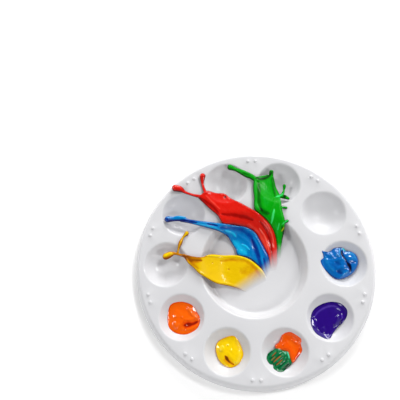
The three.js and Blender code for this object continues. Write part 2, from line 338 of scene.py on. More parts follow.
def nub_centres():
    half = NUB_SPACING / 2 / NUB_CIRCLE
    for index in range(WELLS):
        middle = (index + 0.5) * 2 * math.pi / WELLS
        for angle in (middle - half, middle + half):
            yield NUB_CIRCLE * math.cos(angle), NUB_CIRCLE * math.sin(angle)


def make_tray(material):
    skin = Skin()
    deck_edge, under_edge = skirt(skin)
    holes = [mixing_top(skin)]
    holes += [well_top(skin, well_centre(index)) for index in range(WELLS)]
    holes += [nub(skin, centre) for centre in nub_centres()]
    skin.plate(deck_edge, holes)
    under_holes = [mixing_under(skin)]
    under_holes += [well_under(skin, well_centre(index)) for index in range(WELLS)]
    skin.plate(under_edge, under_holes)
    tray = new_piece("tray", skin.points, skin.faces, "palette_tray", material)
    face_outward(tray)
    return tray


def face_outward(piece):
    work = bmesh.new()
    work.from_mesh(piece.data)
    bmesh.ops.recalc_face_normals(work, faces=work.faces)
    work.to_mesh(piece.data)
    work.free()
    piece.data.shade_smooth()


# -------------------------------------------------------------------- paint: strokes
#
# A stroke is (points, width, lift, tone). It follows its points, narrow at both ends, or is
# a round spot where it has one point. It raises the surface by lift (or sinks it), and makes
# the colour lighter or darker by tone. Tone is partly the paint's own colour and partly painted
# light: painted shade in folds, creases and pits, and painted highlights on ridges and rolled edges.


def along_stroke(xy, points):
    """Distance of each point to a stroke's line, and how far along it the nearest place is."""
    line = spline(points, 6 * len(points)) if len(points) > 2 else np.asarray(points, float)
    steps = np.linalg.norm(np.diff(line, axis=0), axis=1)
    reached = np.concatenate([[0], np.cumsum(steps)])
    nearest = np.full(len(xy), np.inf)
    share = np.zeros(len(xy))
    for number, (start, end) in enumerate(zip(line[:-1], line[1:])):
        run = end - start
        t = np.clip(((xy - start) @ run) / max(run @ run, 1e-9), 0, 1)
        gap = np.linalg.norm(xy - start - t[:, None] * run, axis=1)
        closer = gap < nearest
        nearest = np.where(closer, gap, nearest)
        share = np.where(closer, (reached[number] + t * steps[number]) / reached[-1], share)
    return nearest, share


NARROWEST = 0.35  # a stroke's width at its ends, as a share


def tapered(width, share):
    """Half width of a stroke at a share of its length: full in the middle, narrow at its ends."""
    full = np.sqrt(np.clip(4 * share * (1 - share), 0, 1))
    return width * (NARROWEST + (1 - NARROWEST) * full)


def apply_strokes(xy, strokes):
    """Lift in mm and change of tone at each point of the plan; the tone is partly painted shade and
    painted highlights.
    """
    lift = np.zeros(len(xy))
    tone_and_painted_light = np.zeros(len(xy))
    for points, width, raised, shade in strokes:
        if len(points) == 1:
            gap = np.linalg.norm(xy - np.asarray(points[0], float), axis=1)
            reach = width
        else:
            gap, share = along_stroke(xy, points)
            reach = tapered(width, share)
        weight = np.exp(-((gap / reach) ** 2) * 2)
        lift += raised * weight
        tone_and_painted_light += shade * weight
    return lift, tone_and_painted_light


def fleck_shares(xy, flecks):
    """How much of another colour shows at each point, from lines of (points, width)."""
    shown = np.zeros(len(xy))
    for points, width in flecks:
        gap, share = along_stroke(xy, points)
        shown = np.maximum(shown, np.exp(-((gap / tapered(width, share)) ** 2) * 2))
    return shown


def ripple(xy, size, seed, octaves=3):
    """Smooth, gentle unevenness, about -1 to 1, from a few crossing waves."""
    rng = np.random.default_rng(seed)
    total = np.zeros(len(xy))
    for octave in range(octaves):
        for _ in range(5):
            angle = rng.uniform(0, 2 * math.pi)
            phase = rng.uniform(0, 2 * math.pi)
            wave = 2 * math.pi / (size * rng.uniform(0.7, 1.3) / 2**octave)
            across = xy @ np.array([math.cos(angle), math.sin(angle)])
            total += np.sin(across * wave + phase) / 5 / 1.6**octave
    return total


# ------------------------------------------------------------------- paint: ribbons

ALONG = 140  # points along a ribbon's sheet
ACROSS = 40  # and across it
VOXEL = 0.3
SMOOTHINGS = 6
BASE_SHARE = 0.16  # a ribbon thickens over this share of its length
BASE_THIN = 0.12  # from this share of its thickness
BASE_SUNK = 0.25  # and its start is sunk this far
EDGE_ROUND = 0.62  # width of its rounded edge, in thicknesses
EDGE_LEVEL = 0.45  # height of the edge's middle, in thicknesses
ARM_SIDES = 20
ARM_THINNEST = 0.3
CAP_STEPS = 6
RIBBON_UNEVEN = 0.06  # gentle unevenness of a ribbon's top
TONE_UNEVEN = 0.04  # and of any paint's tone
STEEP_PAINTED_SHADE = 0.45  # painted shade: steep sides are darker by this much


def sheet_solid(left, right, thickness):
    """Closed body between two edges, thin and sunk at its base, with rounded edges."""
    left = spline(left, ALONG)
    right = spline(right, ALONG)
    share = 0.5 - 0.5 * np.cos(np.linspace(0, math.pi, ACROSS))
    plan = right[:, None] + (left - right)[:, None] * share[None, :, None]
    width = np.linalg.norm(left - right, axis=1)[:, None]
    edge = np.minimum(share, 1 - share)[None] * width
    start = smooth_step(np.linspace(0, 1, ALONG), 0, BASE_SHARE)[:, None]
    thick = thickness * (BASE_THIN + (1 - BASE_THIN) * start)
    rounding = np.minimum(edge / (EDGE_ROUND * thick), 1)
    shape = np.sqrt(1 - (1 - rounding) ** 2)
    bed = ribbon_bed(plan[..., 0], plan[..., 1]) - BASE_SUNK * (1 - start)
    top = bed + thick * (EDGE_LEVEL + (1 - EDGE_LEVEL) * shape)
    bottom = bed + thick * EDGE_LEVEL * (1 - shape)
    upper = np.dstack([plan, top]).reshape(-1, 3)
    lower = np.dstack([plan, bottom]).reshape(-1, 3)
    faces = []
    offset = ALONG * ACROSS
    for i in range(ALONG - 1):
        for j in range(ACROSS - 1):
            a = i * ACROSS + j
            b = a + ACROSS
            faces.append((a, b, b + 1, a + 1))
            faces.append((offset + a, offset + a + 1, offset + b + 1, offset + b))
    rim = list(range(ACROSS))
    rim += [i * ACROSS + ACROSS - 1 for i in range(1, ALONG)]
    rim += [(ALONG - 1) * ACROSS + j for j in range(ACROSS - 2, -1, -1)]
    rim += [i * ACROSS for i in range(ALONG - 2, 0, -1)]
    for a, b in zip(rim, rim[1:] + rim[:1]):
        faces.append((a, b, offset + b, offset + a))
    return np.vstack([upper, lower]), faces


def arm_solid(points, radii, lie=0.75):
    """Round arm of paint along plan points, with a radius at each, and round ends."""
    knots = np.column_stack([np.asarray(points, float), radii])
    path = spline(knots, 12 * len(points))
    radius = np.maximum(path[:, 2], ARM_THINNEST)
    height = ribbon_bed(path[:, 0], path[:, 1]) + radius * lie + SINK
    centre = np.column_stack([path[:, :2], height])
    heading = np.gradient(centre, axis=0)
    heading /= np.linalg.norm(heading, axis=1)[:, None]
    turns = np.linspace(0, math.pi / 2, CAP_STEPS + 1)[1:]

    def cap(end, sign):
        out = sign * heading[end] * radius[end]
        return [(centre[end] + out * math.sin(a), radius[end] * math.cos(a), heading[end]) for a in turns]

    stations = cap(0, -1)[::-1] + list(zip(centre, radius, heading)) + cap(-1, 1)
    vertices = []
    faces = []
    for middle, size, ahead in stations:
        side = np.array([ahead[1], -ahead[0], 0.0])
        side /= np.linalg.norm(side)
        up = np.cross(side, ahead)
        for step in range(ARM_SIDES):
            angle = 2 * math.pi * step / ARM_SIDES
            vertices.append(middle + max(size, 1e-3) * (math.cos(angle) * side + math.sin(angle) * up))
    for i in range(len(stations) - 1):
        for step in range(ARM_SIDES):
            a = i * ARM_SIDES + step
            b = i * ARM_SIDES + (step + 1) % ARM_SIDES
            faces.append((a, b, b + ARM_SIDES, a + ARM_SIDES))
    faces.append(tuple(range(ARM_SIDES - 1, -1, -1)))
    last = (len(stations) - 1) * ARM_SIDES
    faces.append(tuple(range(last, last + ARM_SIDES)))
    return np.array(vertices), faces


def fused(solids):
    """One skin round overlapping closed solids, remeshed evenly and smoothed."""
    points = []
    faces = []
    for part_points, part_faces in solids:
        first = len(points)
        points += part_points.tolist()
        faces += [tuple(i + first for i in face) for face in part_faces]
    mesh = bpy.data.meshes.new("fusing")
    mesh.from_pydata(points, [], faces)
    work = placed("fusing", mesh)
    remesh = work.modifiers.new("remesh", "REMESH")
    remesh.mode = "VOXEL"
    remesh.voxel_size = VOXEL
    smooth = work.modifiers.new("smooth", "SMOOTH")
    smooth.factor = 0.5
    smooth.iterations = SMOOTHINGS
    shape = work.evaluated_get(bpy.context.evaluated_depsgraph_get())
    made = bpy.data.meshes.new_from_object(shape)
    co = np.zeros(len(made.vertices) * 3)
    made.vertices.foreach_get("co", co)
    normal = np.zeros(len(made.vertices) * 3)
    made.vertices.foreach_get("normal", normal)
    polygons = [tuple(polygon.vertices) for polygon in made.polygons]
    bpy.data.objects.remove(work)
    bpy.data.meshes.remove(made)
    return co.reshape(-1, 3), normal.reshape(-1, 3), polygons


def flow_of(xy, left, right):
    """Where each point lies on a ribbon: share along it and share across it."""
    rows = 90
    columns = 18
    neighbours = 4
    left = spline(left, rows)
    right = spline(right, rows)
    tree = KDTree(rows * columns)
    for i in range(rows):
        for j in range(columns):
            spot = right[i] + (left[i] - right[i]) * j / (columns - 1)
            tree.insert((spot[0], spot[1], 0), i * columns + j)
    tree.balance()
    near = [tree.find_n((x, y, 0), neighbours) for x, y in xy]
    found = np.array([[hit[1] for hit in hits] for hits in near])
    gap = np.array([[hit[2] for hit in hits] for hits in near])
    weight = 1 / (gap + 0.1)
    weight /= weight.sum(axis=1, keepdims=True)
    along = (weight * (found // columns)).sum(axis=1) / (rows - 1)
    across = (weight * (found % columns)).sum(axis=1) / (columns - 1)
    return along, across


def make_ribbon(name, slot, look, left, right, thickness, arms, strokes, fade_end, seed, flecks=()):
    solids = [sheet_solid(left, right, thickness)]
    solids += [arm_solid(*arm) for arm in arms]
    points, normal, faces = fused(solids)
    xy = points[:, :2]
    along, across = flow_of(xy, left, right)
    lift, tone_and_painted_light = apply_strokes(xy, strokes)
    lift += RIBBON_UNEVEN * ripple(xy, 9, seed)
    upward = smooth_step(normal[:, 2], 0.0, 0.6)
    start = smooth_step(along, 0.02, 0.2)
    points[:, 2] += lift * upward * start
    # Painted shade: where the paint's surface turns steep, its tone is darkened.
    steep = smooth_step(1 - normal[:, 2], 0.08, 0.7)
    tone_and_painted_light = 0.5 + tone_and_painted_light - STEEP_PAINTED_SHADE * steep + TONE_UNEVEN * ripple(xy, 6, seed + 1)
    fade = 1 - smooth_step(along, 0, fade_end)
    piece = new_piece(name + "_paint", points, faces, name, paint_material(name, **look))
    point_values(piece, "tone_and_painted_light", np.clip(tone_and_painted_light, 0, 1))
    point_values(piece, "fade", fade)
    point_values(piece, "along", along)
    point_values(piece, "across", across)
    point_values(piece, "fleck", fleck_shares(xy, flecks))
    return piece


# The tone of these strokes is partly the paint's own colour and partly painted light: painted shade in
# folds, creases and pits, painted highlights on ridges and rolled edges.
YELLOW = {
    "name": "yellow_ribbon",
    "slot": "yellow_paint",
    "thickness": 3.2,
    "fade_end": 0.2,
    "seed": 11,
    "left": [
        (-5.5, -19), (-11.5, -16.5), (-19, -14.5), (-26, -13.5), (-32.5, -10.5),
        (-38.5, -7), (-42.5, -3), (-46.5, 0.5), (-49.5, 4.5), (-51.5, 6),
    ],
    "right": [
        (9.5, -10.5), (7, -4.5), (2.5, 0.5), (-4, 5), (-12, 7.5),
        (-21, 7.5), (-30, 7.5), (-36.5, 5), (-43.5, 5.5), (-50.5, 7.5),
    ],
    "arms": [
        ([(-48.5, 5.5), (-52.5, 7), (-56.5, 8), (-59.5, 7.3), (-62.8, 5.8)], [1.2, 0.9, 1.1, 2.2, 2.4]),
        ([(-54.5, 7.5), (-53.8, 11), (-52.3, 15.5), (-50.5, 19.5), (-47.8, 22.5)],
         [0.9, 0.8, 1.35, 0.8, 1.6]),
    ],
    "strokes": [
        ([(-34, 6), (-21, 6.6), (-12, 6.6), (-4, 4.2), (2, -0.6), (6.5, -6), (8.6, -10)], 1.3, 0.5, 0.35),
        ([(-24, 2.8), (-14, 4), (-5, 2.4), (1, -2.4), (4.5, -8)], 2.2, -0.15, -0.16),
        ([(-9, -4), (-2, -6), (3, -10)], 7, -0.3, -0.12),
        ([(-32, -3), (-24, -2), (-18, -5)], 6, 0.1, 0.06),
        ([(-50, 6.2), (-44, 5), (-38.5, 4.6), (-33, 5.6)], 1.2, 0.1, -0.25),
        ([(-48.5, 5), (-43.5, 2.6), (-37, 2.2)], 2.6, -0.3, -0.42),
        ([(-45.5, 2.4), (-42.5, -1), (-39, -3.6)], 1.8, 0, -0.22),
        ([(-48.5, 5.4), (-53, 7.2), (-57.5, 8.2)], 1.6, 0, -0.26),
        ([(-57.5, 6.4), (-60, 5), (-64.4, 3.8)], 1.8, 0, -0.32),
        ([(-54.8, 8.4), (-54.4, 12), (-53, 16), (-51.4, 19.8), (-49, 23)], 1.3, 0, -0.3),
        ([(-53, 11.5), (-51, 15.5), (-49.4, 18.6), (-46.6, 21.6)], 0.9, 0, -0.2),
        ([(-49, 3.8), (-44, -1), (-38, -6), (-29, -11.4), (-19, -13.2), (-9, -16)], 1.1, 0.3, 0.1),
        ([(-18, -3)], 0.9, -0.4, -0.3),
        ([(-19, -2)], 0.7, 0.25, 0.12),
        ([(-29.5, 1)], 0.7, -0.25, -0.2),
        ([(-7, -14)], 0.7, -0.2, -0.1),
        ([(-60.8, 7.4), (-63, 5.6)], 1.0, 0.1, 0.3),
    ],
}

BLUE = {
    "name": "blue_ribbon",
    "slot": "blue_paint",
    "thickness": 3.2,
    "fade_end": 0.16,
    "seed": 23,
    "left": [
        (8.6, -8.6), (6.5, -4.4), (2.6, 0.4), (-3.8, 5.4), (-11.4, 7.6), (-13, 12),
        (-16.5, 17.5), (-19, 21), (-24, 23.5), (-34.5, 26.5), (-45.5, 30), (-53, 31.5),
    ],
    "right": [
        (12, -4), (11.5, 2), (10.5, 7.5), (8, 13), (5, 19), (1.5, 24),
        (-4.5, 27.5), (-12.5, 28.5), (-22.5, 29.5), (-34.5, 31), (-46.5, 33.5), (-52.5, 36),
    ],
    "arms": [
        ([(-50, 33.5), (-54, 34), (-58, 33.6), (-62, 33.1)], [1.9, 2.1, 1.9, 2.4]),
    ],
    "strokes": [
        ([(-57, 32), (-48.5, 32), (-40.5, 30.2)], 1.3, -0.1, -0.45),
        ([(-61, 34.8), (-54, 35.6), (-46, 33.9)], 1.2, 0.15, 0.3),
        ([(-64, 33.4), (-60, 31.8), (-54, 31.8)], 1.7, 0.0, -0.35),
        ([(-44, 29.6), (-34.5, 27.6), (-26.5, 25.4), (-20, 22)], 1.1, 0.3, 0.3),
        ([(-38.5, 30.4), (-22.5, 29), (-13.5, 28)], 1.2, 0.15, 0.1),
        ([(-33, 28.8), (-25.5, 27.3)], 0.9, -0.3, -0.5),
        ([(-23.5, 26), (-13.5, 26.3), (-6.5, 24.5), (-1, 19.5), (2.5, 13), (4.5, 6)], 2.8, -0.2, -0.2),
        ([(-20, 24.2), (-15, 23), (-12.5, 20.5)], 1.6, 0.35, 0.35),
        ([(-18.8, 20.6), (-16, 16), (-12, 9.5)], 1.0, 0.3, -0.15),
        ([(-14, 17.5), (-10, 13), (-5.5, 8.5)], 5.0, -0.3, 0.32),
        ([(-10.5, 21.5), (-5.5, 18), (-2, 13), (-1, 7)], 2.0, 0.25, 0.02),
        ([(-8.5, 15), (-5.5, 13.8), (-3, 11)], 0.9, 0.35, 0.45),
        ([(-9, 10.6)], 1.1, 0.35, 0.35),
        ([(-1, 18.5), (1.5, 11), (4, 3), (6, -3)], 2.0, -0.15, -0.3),
        ([(0, 20), (3.2, 14), (5, 7), (6.2, 1)], 1.0, 0.12, 0.16),
        ([(2, 20.5), (6, 12), (8.5, 4)], 1.6, 0.12, -0.05),
        ([(4, 20), (8, 12), (10, 4), (11, -2)], 2.4, 0.0, -0.16),
        ([(7, 5), (8.4, -1), (9.4, -5.5)], 1.2, -0.2, -0.35),
    ],
}

RED = {
    "name": "red_ribbon",
    "slot": "red_paint",
    "thickness": 3.3,
    "fade_end": 0.17,
    "seed": 37,
    "left": [
        (11.5, -4.2), (11.3, 1.8), (10, 7.4), (7.5, 12.9), (4.5, 18.8), (1.3, 24.1),
        (-4.4, 27), (-12.6, 28.5), (-21.7, 29.3), (-25.5, 35), (-31.5, 40.5), (-36, 45), (-40, 49),
    ],
    "right": [
        (16.5, -3.5), (17, 5), (17, 15), (15.5, 22.5), (12.5, 28.5), (7.5, 34),
        (1.5, 38.5), (-7.5, 44), (-15.5, 48.5), (-20.5, 52.5), (-26.5, 53), (-32.5, 54.5), (-36, 52.5),
    ],
    "arms": [
        ([(-36, 49.5), (-44, 51.5), (-49.5, 53.6), (-53, 55.8), (-56.8, 56.6)], [1.5, 1.0, 1.1, 2.2, 2.6]),
        ([(-34, 51.5), (-35.8, 56.5), (-36.8, 61), (-36.6, 65.6)], [1.6, 1.1, 1.2, 2.3]),
    ],
    "strokes": [
        ([(-22.5, 35.8), (-13.5, 35), (-6.5, 33.9), (0, 32)], 2.2, -0.35, -0.25),
        ([(-24, 39), (-12, 39), (-3, 36.5)], 3.0, 0.15, 0.04),
        ([(-20, 31.8), (-10, 31.2), (-3, 29.4)], 1.8, 0.2, 0.04),
        ([(-38.5, 48.6), (-34, 45.6), (-28.5, 41), (-24.5, 36.5)], 1.5, -0.3, -0.3),
        ([(-34, 50), (-31, 46.6), (-27, 42.6), (-24, 39.5)], 1.0, 0.3, 0.2),
        ([(-36.5, 51.4), (-30, 53), (-23, 51.6)], 1.0, 0.25, -0.08),
        ([(-20, 49.3)], 1.2, -0.7, -0.6),
        ([(-20.8, 51.4)], 1.3, 0.5, 0.05),
        ([(-16, 47.4), (-7.5, 43), (1.5, 37.4), (8, 31.6)], 1.2, 0.3, -0.05),
        ([(-3, 29), (3, 24), (7, 17.5), (9.5, 10)], 2.6, 0.3, 0.18),
        ([(4.5, 26.5), (8, 21.5), (10, 15.5), (11.3, 8)], 0.8, 0.3, 0.35),
        ([(5, 31), (9.5, 24.5), (12, 17), (13, 8), (13.8, 0)], 1.4, -0.35, -0.25),
        ([(7.5, 32), (11.5, 26.5), (13.8, 20), (14.8, 12)], 0.9, 0.35, 0.32),
        ([(12, 29), (15, 22), (16, 13), (15.8, 4)], 0.9, 0.3, 0.0),
        ([(-57.5, 57.2), (-54.5, 56.6)], 1.0, 0.05, 0.2),
        ([(-37, 66)], 1.0, 0.05, 0.2),
    ],
}

GREEN = {
    "name": "green_ribbon",
    "slot": "green_paint",
    "thickness": 3.1,
    "fade_end": 0.14,
    "seed": 53,
    "left": [
        (16.5, 5), (16.5, 13.3), (15.4, 21), (12.9, 26.8), (9.1, 32.1),
        (3.9, 36.8), (0.9, 40.6), (1, 48.5), (0.5, 55.5), (1, 61), (2, 64),
    ],
    "right": [
        (20, 5), (20, 13), (21.5, 20.5), (22.5, 26.5), (22.5, 32.5),
        (21, 39.5), (20.5, 46), (19.5, 52), (17.5, 57), (16.5, 62.5), (15.5, 67),
    ],
    "arms": [
        ([(4, 61), (0, 64.5), (-4, 66.3), (-8, 68.8), (-12, 71), (-16, 72.6)],
         [1.8, 1.9, 2.2, 1.9, 1.4, 2.2]),
        ([(13.5, 62), (14, 66), (14.4, 68.6)], [1.6, 1.7, 1.7]),
        ([(17, 49), (20, 50.2), (22.4, 52.5), (23.2, 55), (23.6, 58)], [0.9, 0.9, 1.0, 0.8, 1.3]),
        ([(20, 50), (23, 49.3), (26, 47.8)], [1.3, 1.6, 1.0]),
        ([(19, 41), (21.5, 41), (24, 40.6)], [0.8, 0.7, 1.0]),
        ([(19.5, 27), (22, 29.5), (24.5, 30.8)], [1.0, 0.9, 1.1]),
    ],
    "strokes": [
        ([(2, 62), (1.9, 52), (2.2, 43), (5, 38.5)], 1.5, 0.3, 0.08),
        ([(4.2, 61), (4.2, 50), (4.4, 42.5), (6.8, 38)], 1.8, 0.0, -0.2),
        ([(5, 39.8), (8, 37.2), (11.5, 36)], 2.4, 0.0, -0.32),
        ([(9.5, 60), (9.8, 50), (9.5, 42)], 5.0, -0.12, 0.06),
        ([(2.5, 63), (7, 62.6), (11.5, 64.4), (14, 67)], 1.6, 0.1, -0.42),
        ([(5.6, 60), (5.4, 50), (6, 41)], 1.8, 0.0, -0.12),
        ([(14.3, 68)], 1.6, 0.1, -0.35),
        ([(14.8, 64), (15.6, 56), (16.6, 49)], 1.5, 0.35, -0.2),
        ([(13, 29), (14.3, 34.5), (15.2, 39)], 1.0, 0.4, 0.5),
        ([(17.5, 24.5), (18.5, 29)], 0.8, 0.25, 0.3),
        ([(11, 35), (14.5, 42), (16, 48)], 1.4, 0.35, 0.0),
        ([(16.5, 48.6), (20, 49.8), (22.5, 52)], 0.9, 0.2, 0.45),
        ([(19.5, 48), (21, 41), (22, 35)], 1.0, 0.25, 0.25),
        ([(22.6, 48.6), (24, 49.8)], 1.5, 0.0, -0.6),
        ([(20.5, 28), (24.5, 31)], 0.8, 0.15, 0.35),
        ([(20.5, 26.5), (21.5, 22), (20.5, 17)], 1.4, -0.25, -0.4),
        ([(-1, 65.2), (-7, 67.4)], 1.2, 0, -0.2),
        ([(16, 30), (17.5, 20), (18.5, 12)], 1.2, 0.25, 0.1),
    ],
    "flecks": [
        ([(20.2, 23.5), (22, 26.2)], 0.6),
    ],
}


# ---------------------------------------------------------------------- paint: dabs

DAB_ROUND = 128
DAB_RINGS = 40
DAB_UNDER = 14
DAB_THINNEST = 0.9  # a dab's crown is at least this far above its bed
DAB_UNEVEN = 0.045
EDGE_PAINTED_SHADE = 0.16  # painted shade: a dab's rounded edge is darker by this much
FLOW_LENGTH = 30  # a dab's flow runs from 0 to 1 over this


def dab_rows():
    """(share of the way to the edge, share of the crown's height) for each ring of a dab."""
    rows = []
    for turn in np.linspace(math.pi / 2, 0, DAB_RINGS)[1:]:
        rows.append((math.cos(turn) ** 0.75, math.sin(turn) ** 0.5))
    for step in range(1, DAB_UNDER + 1):
        rows.append((1 - step / (DAB_UNDER + 1), 0.0))
    return rows


def make_dab(name, slot, look, well, outline, top, dome, strokes, seed, flecks=()):
    """A dab filling an outline in a small well, bulging over its edge."""
    edge = spline(outline, DAB_ROUND, closed=True)
    centre = edge.mean(axis=0)
    rows = dab_rows()
    plan = [centre]
    upper = [1.0]
    shares = [0.0]
    for share, height in rows:
        plan += list(centre + (edge - centre) * share)
        upper += [height] * DAB_ROUND
        shares += [share] * DAB_ROUND
    plan.append(centre)
    upper.append(0.0)
    shares.append(0.0)
    xy = np.array(plan)
    upper = np.array(upper)
    shares = np.array(shares)
    bed = well_height(np.linalg.norm(xy - well_centre(well), axis=1)) - SINK
    lift, tone_and_painted_light = apply_strokes(xy, strokes)
    grain = ripple(xy, 5, seed)
    crown = np.maximum(top + dome * (1 - shares**2), bed + DAB_THINNEST)
    relief = (lift + DAB_UNEVEN * grain) * smooth_step(upper, 0.15, 0.75)
    points = np.column_stack([xy, bed + (crown - bed) * upper + relief])
    faces = []
    for step in range(DAB_ROUND):
        after = (step + 1) % DAB_ROUND
        faces.append((0, 1 + step, 1 + after))
        for row in range(len(rows) - 1):
            a = 1 + row * DAB_ROUND
            b = a + DAB_ROUND
            faces.append((a + step, b + step, b + after, a + after))
        last = 1 + (len(rows) - 1) * DAB_ROUND
        faces.append((last + step, len(points) - 1, last + after))
    # Painted shade: the tone darkens towards the dab's rounded edge.
    tone_and_painted_light = 0.5 + tone_and_painted_light + TONE_UNEVEN * grain - EDGE_PAINTED_SHADE * smooth_step(shares, 0.88, 1.0)
    piece = new_piece(name + "_paint", points, faces, name, paint_material(name, **look))
    face_outward(piece)
    point_values(piece, "tone_and_painted_light", np.clip(tone_and_painted_light, 0, 1))
    point_values(piece, "fade", np.zeros(len(points)))
    point_values(piece, "along", xy[:, 0] / FLOW_LENGTH)
    point_values(piece, "across", xy[:, 1] / FLOW_LENGTH)
    point_values(piece, "fleck", fleck_shares(xy, flecks))
    return piece


# The tone of these strokes is partly the paint's own colour and partly painted light: painted shade in
# pits and folds, painted highlights on ridges and glint bumps.
ORANGE_DAB = {
    "name": "orange_dab", "slot": "orange_paint", "well": 6, "top": 5.6, "dome": 0.9, "seed": 61,
    "outline": [
        (-59, -28), (-52, -25.7), (-44.5, -27.7), (-41, -32), (-38, -37.5), (-39.5, -43.5),
        (-44.5, -47), (-49.5, -48.2), (-55.5, -47), (-60, -43), (-61, -35.5),
    ],
    "strokes": [
        ([(-47.2, -41.4), (-44.5, -41.2), (-41, -40)], 2.6, -0.35, 0.0),
        ([(-46.2, -41.5)], 2.6, 0.0, -0.4),
        ([(-49, -42), (-46, -41.6), (-42.6, -40.9), (-39.6, -39.3)], 1.5, 0.0, -0.5),
        ([(-49.6, -39.6), (-47.6, -44)], 2.4, 0.0, -0.14),
        ([(-49.5, -38.2), (-44, -38), (-40, -36.6)], 1.3, 0.4, 0.0),
        ([(-48, -45), (-43.5, -44), (-40, -41.8)], 1.3, 0.4, 0.05),
        ([(-47, -30.2), (-44.8, -32.4), (-43, -35), (-39.4, -37)], 2.0, 0.8, 0.1),
        ([(-55, -35.8)], 1.6, 0.5, 0.05),
        ([(-50.8, -36.4)], 1.2, 0.4, 0.1),
        ([(-56, -40), (-54.4, -44)], 2.1, 0.8, 0.05),
        ([(-53, -41.4)], 1.2, 0.3, 0.12),
        ([(-50, -44.6)], 1.2, 0.3, 0.1),
        ([(-54, -31), (-49, -33), (-44, -36)], 2.6, -0.3, 0.0),
    ],
}

YELLOW_DAB = {
    "name": "yellow_dab", "slot": "golden_yellow_paint", "well": 7, "top": 5.4, "dome": 0.8, "seed": 67,
    "outline": [
        (-15.5, -48.8), (-12, -51.5), (-9.8, -56), (-8.5, -61), (-10.3, -65.5), (-13, -68.3),
        (-17.5, -69.8), (-22.5, -67.8), (-26, -63.5), (-27.5, -57.5), (-26, -53), (-21.5, -50.2),
    ],
    "strokes": [
        ([(-20, -63), (-18.4, -65), (-16, -67)], 2.4, -0.25, 0.0),
        ([(-19.8, -63.6)], 1.6, 0.0, -0.4),
        ([(-21, -62), (-19.4, -64.4), (-17.4, -66.4), (-15, -67.8)], 1.5, 0.0, -0.45),
        ([(-22, -64.4), (-18.5, -67.8)], 1.8, 0.1, -0.14),
        ([(-18.4, -60.4), (-16.4, -63.4), (-13.6, -66.2)], 1.4, 0.2, 0.0),
        ([(-24.2, -58.8), (-22.4, -56)], 2.0, 0.7, 0.15),
        ([(-19, -55)], 1.1, 0.45, 0.15),
        ([(-17, -58.6)], 1.2, 0.4, 0.15),
        ([(-11.4, -59.6), (-12.2, -63), (-13.3, -66.8)], 2.0, 0.8, 0.12),
        ([(-14, -52), (-12, -57), (-12.6, -62)], 2.0, 0.0, -0.06),
    ],
}

ORANGE_STROKE = {
    "name": "orange_stroke", "slot": "red_orange_paint", "well": 8, "top": 5.3, "dome": 0.6, "seed": 71,
    "outline": [
        (22.5, -46.3), (18, -48.2), (16, -52.5), (13, -55.2), (14.5, -58), (20.5, -59.5),
        (22.2, -62.5), (24.4, -66.4), (28, -62.8), (31, -58.5), (30.4, -54.5), (30.5, -51),
        (26.8, -47.8),
    ],
    "strokes": [
        ([(17.8, -51), (19.6, -48.8)], 1.1, 0.5, 0.1),
        ([(18.2, -55), (19.8, -53.2)], 1.0, 0.45, 0.08),
        ([(24.5, -51.4), (27.6, -53.4), (29.6, -52.8)], 1.1, 0.5, 0.05),
        ([(22, -52), (25, -55.6), (26.4, -60)], 2.6, -0.25, 0.12),
        ([(29.6, -56.4), (28, -61), (25.8, -64)], 1.1, 0.2, -0.2),
    ],
}

GREEN_DAB = {
    "name": "green_dab", "slot": "deep_green_paint", "well": 8, "top": 5.8, "dome": 0.6, "seed": 73,
    "outline": [
        (15.5, -56.4), (11.5, -58), (8, -60.5), (7, -64), (8.8, -67), (11, -67.8),
        (11.5, -70), (14.5, -72), (17.5, -72), (20.3, -70), (23.8, -66.8), (23.4, -62.3),
        (22.6, -58.4), (19, -57.7),
    ],
    "strokes": [
        ([(8.4, -63.2), (13.2, -58.8)], 0.9, 0.2, 0.05),
        ([(9.4, -65.6), (15.6, -59.6)], 0.9, 0.2, 0.05),
        ([(11.6, -67.4), (18, -61.2)], 0.9, 0.2, 0.05),
        ([(13.2, -69.2), (20, -63)], 0.9, 0.2, 0.05),
        ([(15.2, -70.8), (21.6, -65)], 0.9, 0.3, 0.0),
        ([(9, -64.4), (14.4, -59.2)], 0.6, -0.2, -0.3),
        ([(10.4, -66.6), (16.8, -60.4)], 0.6, -0.2, -0.3),
        ([(12.4, -68.4), (19, -62.2)], 0.6, -0.2, -0.3),
        ([(14.2, -70), (20.8, -64)], 0.6, -0.2, -0.3),
        ([(16.4, -71.2), (22, -66.4)], 0.6, -0.15, -0.3),
        ([(8, -62), (11.6, -58.6)], 0.6, -0.15, -0.25),
        ([(21.2, -59.4), (21.8, -61.4), (22.2, -63.4)], 0.6, 0.3, 0.6),
        ([(19.4, -60)], 0.7, 0.2, 0.4),
        ([(18.8, -70.8), (22.6, -67)], 1.6, 0.1, -0.35),
    ],
    "flecks": [
        ([(10.6, -62.2), (13.4, -59.6)], 0.34),
        ([(10.2, -64.8), (12.8, -62.4)], 0.3),
        ([(11.6, -66), (14.2, -63.6), (16.8, -61.8)], 0.42),
        ([(13.4, -67.8), (17.4, -64.4)], 0.38),
    ],
}

